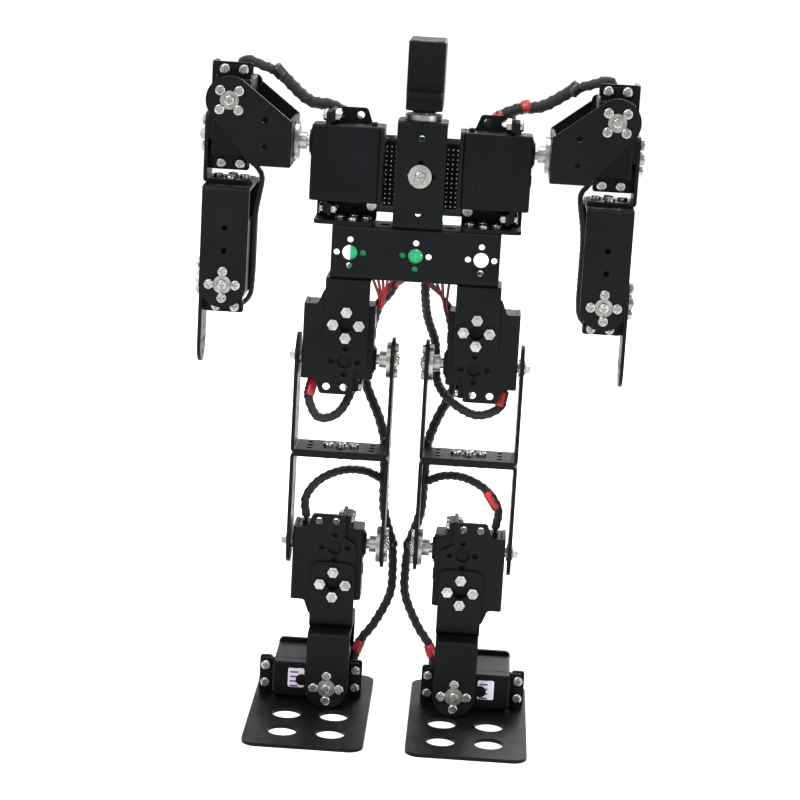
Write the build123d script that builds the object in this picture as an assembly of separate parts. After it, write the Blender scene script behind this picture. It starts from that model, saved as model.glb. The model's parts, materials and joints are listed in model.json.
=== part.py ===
from build123d import *
from math import sin, cos, radians
import os

# ---------------------------------------------------------------- driving dimensions, mm
T = 2.0            # sheet thickness of every bracket
UW = 25.0          # width of the U brackets
AW = 24.0          # width of the angle brackets
PCD = 14.0         # bolt circle of the standard hole pattern
R3 = 1.6           # clearance hole radius for M3
R8 = 4.02          # bearing seat radius
BODY_F, BODY_B = 10.2, 30.5   # servo case, shaft axis to the near and far end
BODY_W = 19.7      # servo case width
PZ = 21.2          # servo bottom to the pattern on the bracket's wall
HORN = 46.0        # servo bottom to the outer face of the horn
NECK_HORN = 42.0   # the same for the thin horn under the head
REAR = -3.6        # servo bottom to the inner face of the pivot arm
YS = 21.2          # bottom of the servos whose shaft points forward
LONG = 52.0        # long U, axis to the outer face of its base
SHORT = 30.7       # short U, axis to the outer face of its base
HEEL = 25.0        # angle, heel to pattern centre
STEP = 20.3        # servo bracket, distance between its two patterns
LEG_X = 35.0       # ankle axis and foot bracket from the middle plane
LEG_O = 56.2       # bottom of the hip and knee servos from the middle plane
FOOT_T = 2.0
Z_FOOT = FOOT_T + 12.0
Z_ANKLE = Z_FOOT + SHORT
Z_KNEE = Z_ANKLE + HEEL + STEP
Z_LINK = Z_KNEE + LONG
Z_HIP = Z_LINK + LONG
Z_BEAM = Z_HIP + STEP + HEEL
BEAM_H, BEAM_L, BEAM_D = 28.5, 90.0, 28.0
Z_TOP = Z_BEAM + BEAM_H
SH_HEEL = 22.0
Z_SH = Z_TOP + SH_HEEL + STEP
SH_O = 22.0        # bottom of the shoulder servos from the middle plane
NECK_H, NECK_W = 57.0, 26.5
Z_NECK = Z_TOP + NECK_H
ARM_X = 101.0
Z_ARM = Z_SH + 21.5
Z_UBASE = Z_ARM - STEP - HEEL
Z_ELBOW = Z_UBASE - LONG
HAND_L = 47.0      # hand plate, elbow axis to its tip
EAR_X = (-34.9, 14.6)         # ear holes of a servo, along its case and across it
EAR_Y = (-5.0, 5.0)
EAR_LOW, EAR_TOP = 26.6, 29.2   # underside and top of the ears
R_MID = 4.0        # middle hole of the standard pattern
CSK = (3.0, 1.6, 1.4)         # countersink, radius at the face, radius below it, depth
BOARD_Y = 19.0     # front face of the controller board
STANDOFF_Z = (8.0, 29.0)      # its stand-offs above the waist beam
PITCH = 2.54       # header pins
TOE, BACK = -86.0, 37.4       # front of the foot plates, back ear of the head servo
NEAR = 1e-3

X, Y, Z = (1, 0, 0), (0, 1, 0), (0, 0, 1)
NX, NY, NZ = (-1, 0, 0), (0, -1, 0), (0, 0, -1)


# ---------------------------------------------------------------- helpers
def box(x0, x1, y0, y1, z0, z1):
    return Pos((x0 + x1) / 2, (y0 + y1) / 2, (z0 + z1) / 2) * Box(x1 - x0, y1 - y0, z1 - z0)


def rod(r, z0, z1, x=0.0, y=0.0):
    return Pos(x, y, (z0 + z1) / 2) * Cylinder(r, z1 - z0)


def at(o, x, z):
    return Plane(origin=o, x_dir=x, z_dir=z).location


def put(shapes, loc):
    return [loc * s for s in shapes]


def flip(shapes):
    """The same shapes on the robot's right side."""
    return [mirror(s, about=Plane.YZ) for s in shapes]


def cut(body, tools):
    for t in tools:
        body = body - t
    return body


def slab(pts, z0, z1):
    face = make_face(Polyline(*pts, close=True))
    return Pos(0, 0, z0) * extrude(face, amount=z1 - z0)


def pattern(r_mid, z0, z1, x=0.0, y=0.0, turn=0.0):
    tools = [rod(r_mid, z0, z1, x, y)]
    for i in range(4):
        a = radians(turn + 90 * i)
        tools.append(rod(R3, z0, z1, x + PCD / 2 * cos(a), y + PCD / 2 * sin(a)))
    return tools


def ring4(turn=0.0, x=0.0, y=0.0):
    return [(x + PCD / 2 * cos(radians(turn + 90 * i)), y + PCD / 2 * sin(radians(turn + 90 * i)))
            for i in range(4)]


def vert(body, r, pick=None):
    es = body.edges().filter_by(Axis.Z)
    if pick:
        es = [e for e in es if pick(e.center())]
    return fillet(es, r)


# ---------------------------------------------------------------- fasteners (z = 0 under the head)
def pan(length, r=1.45, rh=2.75, h=1.9):
    s = rod(rh, 0, h)
    s = fillet(s.edges().filter_by(GeomType.CIRCLE).sort_by(Axis.Z)[-1], 0.9)
    s = s + rod(r, -length, 0)
    s = s - box(-1.6, 1.6, -0.28, 0.28, h - 1.1, h + 1) - box(-0.28, 0.28, -1.6, 1.6, h - 1.1, h + 1)
    return s


def flat(length, r=1.45, rh=2.75):
    h = rh - r
    s = Pos(0, 0, -h / 2) * Cone(r, rh, h) + rod(r, -length, -h + 0.01)
    return s - box(-1.5, 1.5, -0.25, 0.25, -0.8, 1) - box(-0.25, 0.25, -1.5, 1.5, -0.8, 1)


def nut(z0, af=5.5, h=2.4, r=1.5):
    s = Pos(0, 0, z0) * extrude(RegularPolygon(af / 2, 6, major_radius=False), amount=h)
    s = s - rod(r, z0 - 1, z0 + h + 1)
    return s


def washer(z0, ro, h, r=1.6):
    return rod(ro, z0, z0 + h) - rod(r, z0 - 1, z0 + h + 1)


def shift(s, x, y, z=0.0):
    return Pos(x, y, z) * s


# ---------------------------------------------------------------- servo, bottom at z = 0, shaft on +z
def servo_parts(lead=True):
    w = BODY_W / 2
    wall = 1.5
    case = box(-BODY_B, BODY_F, -w, w, 0, 6.0)
    case = vert(case, 1.2)
    case = chamfer(case.edges().group_by(Axis.Z)[0], 0.6)
    hollow = box(-BODY_B + wall, BODY_F - wall, -w + wall, w - wall, 1.5, 7)
    inset = 3.1
    corners = [(cx, cy) for cx in (-BODY_B + inset, BODY_F - inset) for cy in (-w + inset, w - inset)]
    for cx, cy in corners:
        hollow = hollow - rod(2.6, 0, 8, cx, cy)
    bottom = case - hollow
    for cx, cy in corners:
        bottom = bottom - rod(2.0, -1, 1.4, cx, cy) - rod(1.05, 0, 7, cx, cy)
    if lead:
        bottom = bottom + box(BODY_F - 0.2, BODY_F + 1.6, -3.4, 3.4, 2.4, 5.4)
        bottom = bottom - box(BODY_F - 2, BODY_F + 3, -2.6, 2.6, 3.1, 4.7)
    # middle case with the mounting ears
    mid = vert(box(-BODY_B, BODY_F, -w, w, 6.0, EAR_TOP), 1.2)
    hollow = box(-BODY_B + wall, BODY_F - wall, -w + wall, w - wall, 5, 27)
    for cx, cy in corners:
        hollow = hollow - rod(2.0, 4, 28, cx, cy)
    mid = mid - hollow - rod(2.6, 20, 30, -20.0, 0)
    ears = vert(box(-37.4, 17.1, -9.0, 9.0, EAR_LOW, EAR_TOP), 1.5)
    mid = mid + ears
    for ex in EAR_X:
        for ey in EAR_Y:
            mid = mid - rod(2.2, 20, 32, ex, ey)
    for cx, cy in corners:
        mid = mid - rod(1.05, 5, 12, cx, cy)
    for rx0, rx1 in ((BODY_F - 0.1, 16.0), (-36.0, -BODY_B + 0.1)):
        mid = mid + box(rx0, rx1, -0.7, 0.7, EAR_TOP, 30.0)
    # gear cover
    top = vert(box(-BODY_B + 0.1, BODY_F - 0.1, -w + 0.1, w - 0.1, EAR_TOP, 35.2), 1.2)
    top = top + vert(box(-BODY_B + 0.1, BODY_F - 0.1, -w + 0.1, w - 0.1, 35.1, 36.5), 2.2)
    top = chamfer(top.edges().group_by(Axis.Z)[-1], 0.5)
    top = top + rod(7.6, 36.4, 37.2) + rod(6.2, 37.1, 38.0) + rod(3.2, 36.4, 37.0, -14.5, 0)
    cav = vert(box(-BODY_B + 2.4, BODY_F - 1.6, -w + 1.6, w - 1.6, 28, 35.2), 2.0)
    top = top - cav - rod(2.95, 30, 40)
    for cx, cy in corners:
        top = top - rod(1.4, 35.9, 38, cx, cy)
    # inside
    motor = chamfer(rod(7.8, 4.2, 26.8, -20.0, 0).edges(), 0.5) + rod(1.0, 26.7, 29.0, -20.0, 0)
    motor = motor + rod(1.6, 28.9, 32.0, -20.0, 0)
    gears = []
    for gx, gy, wheel, w0, w1, pinion, p1 in ((-13.4, 3.0, 5.0, 30.2, 31.4, 2.0, 33.0),
                                              (-9.0, -3.0, 4.5, 31.8, 33.0, 2.2, 34.8)):
        gears.append(rod(wheel, w0, w1, gx, gy) + rod(pinion, w1 - 0.1, p1, gx, gy)
                     + rod(0.9, 29.3, 35.0, gx, gy))
    board = box(-24.0, 4.5, -7.6, 7.6, 1.8, 3.0) + box(-6, 0, -3, 3, 2.9, 4.0) + box(-3, 1, 4, 7, 2.9, 3.9)
    pot = rod(4.6, 16.0, 26.4) + box(-4.4, 4.4, -4.4, -2.0, 13.0, 16.2)
    case_screws = []
    for cx, cy in corners:
        case_screws.append(rod(1.8, 0.5, 1.35, cx, cy) + rod(1.0, 1.3, 9.0, cx, cy)
                           - box(cx - 1.2, cx + 1.2, cy - 0.25, cy + 0.25, 0.2, 0.9)
                           - box(cx - 0.25, cx + 0.25, cy - 1.2, cy + 1.2, 0.2, 0.9))
    return [bottom, mid, top, motor, *gears, board, pot] + case_screws


def horn_parts(face=HORN, disc=2.5, hub=3.9):
    """Output gear and spline shaft, and the horn disc pushed onto it. face is the disc's outer face."""
    tip = face - 3.0 if hub else face - 0.8
    shaft = rod(2.9, 29.6, tip) + rod(6.5, 33.3, 34.7)
    teeth = []
    for i in range(24):
        a = radians(15 * i)
        teeth.append(rod(0.55, 33.0, 35.0, 6.6 * cos(a), 6.6 * sin(a)))
    shaft = cut(shaft, teeth) - rod(1.5, face - 9.0, face)
    horn = rod(10.0, face - disc, face)
    if hub:
        horn = horn + rod(4.6, face - disc - hub, face - disc + 0.1)
    rims = horn.edges().filter_by(GeomType.CIRCLE).filter_by(lambda e: e.radius > 9)
    horn = chamfer(rims.sort_by(Axis.Z)[-1], 0.3)
    horn = horn - rod(2.93, 37, tip + 0.2) - rod(1.6, face - 4, face + 1)
    for px, py in ring4(0) + ring4(45):
        horn = horn - rod(1.5, face - 4, face + 1, px, py)
    return [shaft, horn]


def horn_screws(turn=0.0, face=HORN):
    """Four screws through the sheet into the horn, and the middle screw with its washer."""
    f = face + T
    out = [shift(pan(T + 2.3), px, py, f) for px, py in ring4(turn)]
    out.append(washer(f, 4.9, 0.7, 1.6))
    out.append(shift(pan(f + 0.7 - 38.0, 1.42), 0, 0, f + 0.7))
    return out


def bearing():
    b = rod(4.0, REAR - 2.8, REAR + 0.05) + rod(4.8, REAR, REAR + 0.8)
    b = b - rod(1.55, REAR - 4, REAR + 2)
    b = b - (rod(3.3, REAR - 2.9, REAR - 2.5) - rod(2.3, REAR - 3, REAR - 2.4))
    return [b]


def pivot_screw():
    s = shift(flat(9.3), 0, 0, -0.05)
    ring = washer(-2.7, 2.6, 0.7, 1.5)
    return [s, ring, nut(-8.9, r=1.5)]


def ear_screws():
    out = []
    for ex in EAR_X:
        for ey in EAR_Y:
            out.append(shift(pan(EAR_TOP - 21.6), ex, ey, EAR_TOP))
            out.append(shift(nut(22.2), ex, ey))
    return out


# ---------------------------------------------------------------- sheet parts
def servo_bracket():
    """Holds one servo by its ears. Base behind the servo, one side wall, two ear tabs."""
    c = -STEP / 2
    base = box(c - 20.5, c + 20.5, -12.0, 12.0, -T, 0)
    base = vert(base, 3.0, lambda p: p.Y > 0)
    wall_pts = [(c - 20.5, -T), (c + 20.5, -T), (c + 20.5, 5.5), (c + 28.5, 8.5), (c + 28.5, EAR_LOW),
                (c + 15.5, EAR_LOW), (c + 12.0, 33.0), (c - 12.0, 33.0), (c - 15.5, EAR_LOW),
                (c - 28.5, EAR_LOW), (c - 28.5, 8.5), (c - 20.5, 5.5)]
    wall = slab(wall_pts, 10.0, 12.0)
    wall = vert(wall, 2.0, lambda p: p.Y > 0)
    # slab is drawn in x, z: turn it so that its thickness lies on -y
    wall = Rot(90, 0, 0) * wall
    b = base + wall
    for s in (-1, 1):
        x0, x1 = sorted((c + s * 21.4, c + s * 28.5))
        tab = box(x0, x1, -10.5, 9.6, 24.6, EAR_LOW)
        tab = vert(tab, 1.5, lambda p: p.Y > 0)
        b = b + tab
    fold = [e for e in b.edges().filter_by(Axis.X)
            if abs(e.center().Y + 12) < NEAR and abs(e.center().Z + T) < NEAR]
    b = fillet(fold, 1.8)
    tools = []
    for ex in EAR_X:
        for ey in EAR_Y:
            tools.append(rod(R3, 20, 30, ex, ey))
    for px in (0.0, -STEP):
        tools.append(rod(R3, -4, 1, px, 0))
        tools.append(Pos(px, 0, -0.65) * Cone(CSK[1], CSK[0], CSK[2]))
        for qx, qy in ring4(0, px, 0):
            if abs(qx - c) < 19 and abs(qy) < 11:
                tools.append(rod(R3, -4, 1, qx, qy))
    lay = Rot(90, 0, 0)
    for px in (0.0, -STEP):
        tools += [lay * t for t in pattern(R_MID, 8, 14, px, PZ)]
        for qx, qz in ring4(0, px, PZ):
            tools.append(lay * (Pos(qx, qz, 10.65) * Cone(*CSK)))
    for tx in (c - 24.6, c + 24.6):
        for tz in (12.0, 21.4):
            tools.append(lay * rod(2.0, 8, 14, tx, tz))
    tools.append(lay * rod(R3, 8, 14, c, PZ))
    return cut(b, tools)


def u_bracket(h, w, arm_holes, turn=0.0, base_mid=4.0):
    """Two arms along +x from the shaft axis to a base. Horn arm at z = 46, pivot arm at z = -3.6."""
    zt, zb = HORN + T, REAR - T
    b = box(h - T, h, -w / 2, w / 2, zb, zt)
    for z0 in (HORN, zb):
        arm = rod(w / 2, z0, z0 + T) + box(0, h - T / 2, -w / 2, w / 2, z0, z0 + T)
        b = b + arm
    es = [e for e in b.edges().filter_by(Axis.Y) if abs(e.center().X - h) < NEAR]
    b = fillet(es, 2.6)
    es = [e for e in b.edges().filter_by(Axis.Y) if abs(e.center().X - h + T) < NEAR]
    b = fillet(es, 0.8)
    tools = pattern(R8, HORN - 1, HORN + T + 1, 0, 0, turn) + [rod(R8, zb - 1, REAR + 1)]
    for px, py in ring4(turn):
        tools.append(rod(R3, zb - 1, REAR + 1, px, py))
    for a in arm_holes:
        tools += [rod(R3, HORN - 1, zt + 1, a, 0), rod(R3, zb - 1, REAR + 1, a, 0)]
    mid = (zt + zb) / 2
    flatten = Pos(h, 0, mid) * Rot(0, 90, 0)
    tools += [flatten * t for t in pattern(base_mid, -4, 2)]
    if h > 40:
        for s in (-1, 1):
            tools.append(flatten * rod(R3, -4, 2, s * 17.0, 0))
            tools.append(flatten * rod(R3, -4, 2, s * 17.0, 7.0))
            tools.append(flatten * rod(R3, -4, 2, s * 17.0, -7.0))
    return cut(b, tools)


def angle(heel, w=AW, shift_w=0.0, mount_w=0.0, foot=26.0, tip=12.0):
    """Upright leg at y -14..-12 from z = 0 up, flat leg at z 0..2 back to y = 12."""
    x0, x1 = -w / 2 + shift_w, w / 2 + shift_w
    up = box(x0, x1, -14.0, -12.0, 0, heel + tip)
    lie = box(x0, x1, -14.0, -14.0 + foot, 0, T)
    b = up + lie
    es = [e for e in b.edges().filter_by(Axis.Y) if abs(e.center().Z - heel - tip) < NEAR]
    b = fillet(es, 5.0)
    es = [e for e in b.edges().filter_by(Axis.Z) if abs(e.center().Y + 14.0 - foot) < NEAR]
    b = fillet(es, 4.0)
    es = [e for e in b.edges().filter_by(Axis.X)
          if abs(e.center().Y + 14) < NEAR and abs(e.center().Z) < NEAR]
    b = fillet(es, 2.4)
    lay = Rot(90, 0, 0)
    tools = [lay * t for t in pattern(R_MID, 11, 15, 0, heel)]
    tools += pattern(R_MID, -1, 3, mount_w, 0)
    return cut(b, tools)


def flat_bolts(grip, x=0.0, y=0.0, turn=0.0):
    """Flat-head screws, heads flush at z = 0 facing +z, nuts at z = -grip."""
    out = []
    for px, py in ring4(turn, x, y):
        out.append(shift(flat(grip + 2.9), px, py, -0.05))
        out.append(shift(nut(-grip - 2.4), px, py))
    return out


def pan_bolts(grip, x=0.0, y=0.0, turn=0.0, only=None):
    out = []
    for i, (px, py) in enumerate(ring4(turn, x, y)):
        if only is None or i in only:
            out.append(shift(pan(grip + 3.0), px, py, 0))
            out.append(shift(nut(-grip - 2.4), px, py))
    return out


SERVO = servo_parts()
HORNS = horn_parts()
BRACKET = servo_bracket()
BRACKET_M = mirror(BRACKET, about=Plane.XZ)
LONG_U = u_bracket(LONG, UW, (18.0, 30.0), 0.0, R3)
SHORT_U = u_bracket(SHORT, 23.2, (), 0.0, 4.0)
ELBOW_U = u_bracket(LONG, UW, (18.0, 30.0), 0.0, 4.0)
ANGLE = angle(HEEL)

# servo frames of the robot's left side
F_SH = at((SH_O, 0, Z_SH), Z, X)
F_ARM = at((ARM_X, YS, Z_ARM), Z, NY)
F_ELB = at((ARM_X, YS, Z_ELBOW), NZ, NY)
F_HIP = at((LEG_O, 0, Z_HIP), NZ, NX)
F_KNEE = at((LEG_O, 0, Z_KNEE), Z, NX)
F_FOOT = at((LEG_X, YS, Z_FOOT), NX, NY)
F_HEAD = at((0, 0, Z_NECK + NECK_HORN), NY, NZ)
# frames of the U brackets: same z, x points at the base
U_HIP = at((LEG_O, 0, Z_HIP), NZ, NX)
U_KNEE = at((LEG_O, 0, Z_KNEE), Z, NX)
U_ELB = at((ARM_X, YS, Z_ELBOW), Z, NY)
U_FOOT = at((LEG_X, YS, Z_FOOT), Z, NY)

NODES = {}


def add(name, shapes):
    NODES.setdefault(name, []).extend(shapes if isinstance(shapes, list) else [shapes])


def both(name, shapes):
    """name holds {} for left_ and right_."""
    shapes = shapes if isinstance(shapes, list) else [shapes]
    add(name.format("left"), shapes)
    add(name.format("right"), flip(shapes))


def pair(name, shapes):
    shapes = shapes if isinstance(shapes, list) else [shapes]
    add(name, shapes)
    add(name, flip(shapes))


# ---------------------------------------------------------------- torso
yf, yb = -BEAM_D / 2, BEAM_D / 2
beam = box(-BEAM_L / 2, BEAM_L / 2, yf, yb, Z_BEAM, Z_TOP)
beam = beam - box(-BEAM_L, BEAM_L, yf + T, yb + 1, Z_BEAM + T, Z_TOP - T)
beam = fillet([e for e in beam.edges().filter_by(Axis.X) if abs(e.center().Y - yf) < NEAR], 2.4)
beam = fillet([e for e in beam.edges().filter_by(Axis.Z) if abs(e.center().Y - yb) < NEAR], 3.0)
zb_mid = (Z_BEAM + Z_TOP) / 2
tools = []
for px in (-35.0, 0.0, 35.0):
    tools += [Pos(px, yf, zb_mid) * Rot(90, 0, 0) * t for t in pattern(R_MID, -3, 3)]
    for zz in (Z_BEAM, Z_TOP - T):
        tools += [Pos(px, 0, zz) * t for t in pattern(R_MID, -1, 3)]
for px in (-17.5, 17.5):
    tools += [Pos(px, 0, zz) * rod(3.0, -1, 3) for zz in (Z_BEAM, Z_TOP - T)]
add("waist_beam", cut(beam, tools))

neck = box(-NECK_W / 2, NECK_W / 2, yf, 12, Z_TOP, Z_NECK)
neck = neck - box(-NECK_W, NECK_W, yf + T, 13, Z_TOP + T, Z_NECK - T)
neck = fillet([e for e in neck.edges().filter_by(Axis.X) if abs(e.center().Y - yf) < NEAR], 2.4)
neck = fillet([e for e in neck.edges().filter_by(Axis.Z) if abs(e.center().Y - 12) < NEAR], 4.0)
z_mid = Z_TOP + NECK_H / 2
tools = [Pos(0, yf, z_mid) * Rot(90, 0, 0) * t for t in pattern(R8, -3, 3)]
tools += [Pos(0, yf, z_mid + s * 20.0) * Rot(90, 0, 0) * rod(R3, -3, 3) for s in (-1, 1)]
tools += [Pos(0, 0, zz) * t for zz in (Z_TOP, Z_NECK - T) for t in pattern(R_MID, -1, 3)]
add("neck_bracket", cut(neck, tools))
add("head_servo", put(servo_parts(False), F_HEAD))
add("neck_horn", put(horn_parts(NECK_HORN, 3.2, 0), F_HEAD))

pair("shoulder_servos", put(SERVO, F_SH))
pair("shoulder_brackets", put([BRACKET], F_SH))
F_SHA = at((SH_O + PZ, 0, Z_TOP), NX, Z)
sh_angle = angle(SH_HEEL, 32.5, 4.0, 8.2)
# board stand-off holes in the upright leg
for zz in STANDOFF_Z:
    sh_angle = sh_angle - Rot(90, 0, 0) * rod(R3, 11, 15, 17.2, zz)
    sh_angle = sh_angle - Rot(90, 0, 0) * (Pos(17.2, zz, 12.65) * Cone(*CSK))
pair("shoulder_angles", [F_SHA * sh_angle])

pair("hip_servos", put(SERVO, F_HIP))
pair("hip_brackets", put([BRACKET_M], F_HIP))
F_HIPA = at((LEG_X, 0, Z_BEAM), NX, NZ)
pair("hip_angles", [F_HIPA * ANGLE])

# controller board behind the neck, on stand-offs from the shoulder angles
pcb = box(-29, 29, BOARD_Y, BOARD_Y + 1.6, Z_TOP + 4, Z_TOP + 46)
pcb = fillet(pcb.edges().filter_by(Axis.Y), 2.0)
for sx in (-26, 26):
    for zz in STANDOFF_Z:
        pcb = pcb - Pos(sx, BOARD_Y, Z_TOP + zz) * Rot(90, 0, 0) * rod(R3, -3, 3)
add("controller_board", pcb)
hdr = []
for sx in (-1, 1):
    x0, x1 = sorted((sx * 12.7, sx * 20.4))
    strip = box(x0, x1, BOARD_Y - 2.5, BOARD_Y, Z_TOP + 8, Z_TOP + 43)
    for row in range(3):
        for k in range(13):
            px, pz = sx * (14.0 + PITCH * row), Z_TOP + 10.2 + PITCH * k
            strip = strip + box(px - 0.32, px + 0.32, BOARD_Y - 8.5, BOARD_Y - 2.4, pz - 0.32, pz + 0.32)
    hdr.append(strip)
hdr.append(box(-7, 7, BOARD_Y - 1.4, BOARD_Y, Z_TOP + 22, Z_TOP + 36))
hdr.append(box(-8, -1, BOARD_Y - 1.1, BOARD_Y, Z_TOP + 39, Z_TOP + 44))
hdr.append(box(2, 10, BOARD_Y + 1.6, BOARD_Y + 8.6, Z_TOP + 6, Z_TOP + 14))
hdr.append(box(-11, -1, BOARD_Y + 1.6, BOARD_Y + 10.6, Z_TOP + 6, Z_TOP + 17))
hdr.append(box(-22, -12, BOARD_Y + 1.6, BOARD_Y + 7.0, Z_TOP + 34, Z_TOP + 42))
hdr.append(box(12, 22, BOARD_Y + 1.6, BOARD_Y + 5.0, Z_TOP + 20, Z_TOP + 34))
add("board_components", hdr)

pwr = box(-35, 5.5, yf + T + 1.0, yf + T + 2.6, Z_BEAM + 5.2, Z_BEAM + 18.4)
add("power_board", [pwr, box(-25, -11, yf + T, yf + T + 1.0, Z_BEAM + 6, Z_BEAM + 16),
                    box(-20, -8, yf + T + 2.6, yf + T + 10.6, Z_BEAM + 5, Z_BEAM + 13),
                    rod(3.1, 0, 9).moved(at((-28, yf + T + 2.6, Z_BEAM + 9), X, Y))])

tf = []
f_bear = at((0, yf, z_mid), X, NY)
tf += put([rod(4.0, -T - 0.8, 0) + rod(4.8, 0, 0.8) - rod(1.55, -4, 2)], f_bear)
tf += put([washer(0.8, 6.2, 0.7, 1.6), shift(pan(6.9), 0, 0, 1.5), nut(-T - 0.8 - 2.4)], f_bear)
tf += put(horn_screws(0, NECK_HORN), F_HEAD)
for s in (1, -1):
    side = []
    side += put(ear_screws(), F_SH) + put(ear_screws(), F_HIP) + put(pivot_screw(), F_HIP)
    # shoulder bracket to its angle: heads inside, nuts behind
    side += put(flat_bolts(2 * T), at((SH_O + PZ, 10, Z_SH - STEP), X, NY))
    # hip bracket to its angle: heads inside, nuts in front
    side += put(flat_bolts(2 * T), at((LEG_X, -10, Z_HIP + STEP), X, Y))
    # angles to the beam
    side += put(pan_bolts(2 * T, only=(0, 1, 2, 3)), at((LEG_X, 0, Z_BEAM - T), X, NZ))
    side += put(pan_bolts(2 * T, only=(0, 1, 2, 3)), at((LEG_X, 0, Z_TOP + T), X, Z))
    for zz in STANDOFF_Z:
        f = at((26.0, 14.0, Z_TOP + zz), X, Y)
        side += put([extrude(RegularPolygon(2.75, 6, major_radius=False), amount=5.0) - rod(1.3, -1, 6)], f)
        side += put([shift(pan(3.6, 1.25), 0, 0, 6.6)], f)
        side += put([shift(Rot(180, 0, 0) * flat(4.4, 1.25), 0, 0, -T + 0.05)], f)
    tf += side if s == 1 else flip(side)
tf += put(pan_bolts(2 * T), at((0, 0, Z_TOP + T), X, Z))
add("torso_fasteners", tf)

# ---------------------------------------------------------------- shoulder link (sloping U)
sk = make_hull((Pos(ARM_X, Z_ARM) * Circle(12.5)).edges() +
               Polyline((SH_O + HORN, Z_SH + 12), (SH_O + HORN, Z_SH - 12), (88.0, Z_SH - 12),
                        (SH_O + HORN, Z_SH + 12)).edges())
fl = extrude(sk, amount=T)
if fl.bounding_box().min.Z < -NEAR:
    fl = Pos(0, 0, T) * fl
half = (HORN - REAR) / 2
y_out = half + T
front = Rot(90, 0, 0) * (Pos(0, 0, half) * fl)
rear = Rot(90, 0, 0) * (Pos(0, 0, -half - T) * fl)
link = front + rear + box(SH_O + HORN, SH_O + HORN + T, -y_out, y_out, Z_SH - 12, Z_SH + 12)
es = [e for e in link.edges().filter_by(Axis.Z)
      if abs(e.center().X - SH_O - HORN) < NEAR and abs(abs(e.center().Y) - y_out) < NEAR]
link = fillet(es, 1.6)
tools = [F_SH * t for t in pattern(R_MID, HORN - 1, HORN + T + 1, 0, 0, 0)]
tools += [F_ARM * t for t in pattern(R8, HORN - 1, HORN + T + 1, 0, 0, 45)]
tools += [F_ARM * t for t in pattern(R8, REAR - T - 1, REAR + 1, 0, 0, 45)]
tools += [Rot(90, 0, 0) * rod(R3, -40, 40, 82.0, Z_SH + dz) for dz in (-2, 12)]
both("{}_shoulder_link", cut(link, tools))
fit = put(HORNS, F_SH) + put(horn_screws(0), F_SH)
fit += put(HORNS, F_ARM) + put(horn_screws(45), F_ARM) + put(bearing(), F_ARM)
both("{}_shoulder_fittings", fit)

# ---------------------------------------------------------------- upper arm
both("{}_upper_arm_servo", put(SERVO, F_ARM))
both("{}_upper_arm_bracket", put([BRACKET], F_ARM))
F_UA = at((ARM_X, 0, Z_UBASE), Y, Z)
both("{}_upper_arm_angle", [F_UA * ANGLE])
both("{}_elbow_bracket", [U_ELB * ELBOW_U])
fit = put(HORNS, F_ELB) + put(horn_screws(0), F_ELB) + put(bearing(), F_ELB)
fit += put(ear_screws(), F_ARM) + put(pivot_screw(), F_ARM)
fit += put(flat_bolts(2 * T), at((ARM_X + 10, 0, Z_ARM - STEP), Y, NX))
fit += put(pan_bolts(2 * T), at((ARM_X, 0, Z_UBASE + T), X, Z))
both("{}_elbow_fittings", fit)

# ---------------------------------------------------------------- forearm
both("{}_forearm_servo", put(SERVO, F_ELB))
both("{}_forearm_bracket", put([BRACKET_M], F_ELB))
hand = box(ARM_X + 12, ARM_X + 14, -12, 12, Z_ELBOW - HAND_L + 12, Z_ELBOW)
hand = hand + Pos(ARM_X + 13, 0, Z_ELBOW) * Rot(0, 90, 0) * Cylinder(12, T)
hand = hand + Pos(ARM_X + 13, 0, Z_ELBOW - HAND_L + 12) * Rot(0, 90, 0) * Cylinder(12, T)
tools = [Pos(ARM_X + 13, 0, Z_ELBOW) * Rot(0, 90, 0) * t for t in pattern(R_MID, -3, 3)]
tools += [Pos(ARM_X + 13, 0, Z_ELBOW - HAND_L + 12) * Rot(0, 90, 0) * t for t in pattern(R3, -3, 3)]
tools += [Pos(ARM_X + 13, 0, Z_ELBOW - 16.5) * Rot(0, 90, 0) * rod(R3, -3, 3)]
both("{}_hand_plate", cut(hand, tools))
fit = put(ear_screws(), F_ELB) + put(pivot_screw(), F_ELB)
fit += put(flat_bolts(2 * T), at((ARM_X + 10, 0, Z_ELBOW), Y, NX))
both("{}_forearm_fasteners", fit)

# ---------------------------------------------------------------- thigh
both("{}_upper_thigh_bracket", [U_HIP * LONG_U])
both("{}_lower_thigh_bracket", [U_KNEE * LONG_U])
fit = put(HORNS, F_HIP) + put(horn_screws(0), F_HIP) + put(bearing(), F_HIP)
fit += put(HORNS, F_KNEE) + put(horn_screws(0), F_KNEE) + put(bearing(), F_KNEE)
f = at((LEG_O - PZ, 0, Z_LINK + T), X, Z)
fit += put([washer(0, 3.5, 0.5), shift(pan(2 * T + 3.5), 0, 0, 0.5), nut(-2 * T - 2.4)], f)
fit += put(pan_bolts(2 * T, only=(0, 2)), f)
both("{}_thigh_fittings", fit)

# ---------------------------------------------------------------- shin
both("{}_knee_servo", put(SERVO, F_KNEE))
both("{}_knee_bracket", put([BRACKET], F_KNEE))
both("{}_ankle_angle", [Pos(LEG_X, 0, Z_ANKLE) * ANGLE])
both("{}_ankle_bracket", [U_FOOT * SHORT_U])
fit = put(HORNS, F_FOOT) + put(horn_screws(0), F_FOOT) + put(bearing(), F_FOOT)
fit += put(ear_screws(), F_KNEE) + put(pivot_screw(), F_KNEE)
fit += put(flat_bolts(2 * T), at((LEG_X, -10, Z_KNEE - STEP), X, Y))
fit += put(pan_bolts(2 * T), at((LEG_X, 0, Z_ANKLE + T), X, Z))
both("{}_ankle_fittings", fit)

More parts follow.
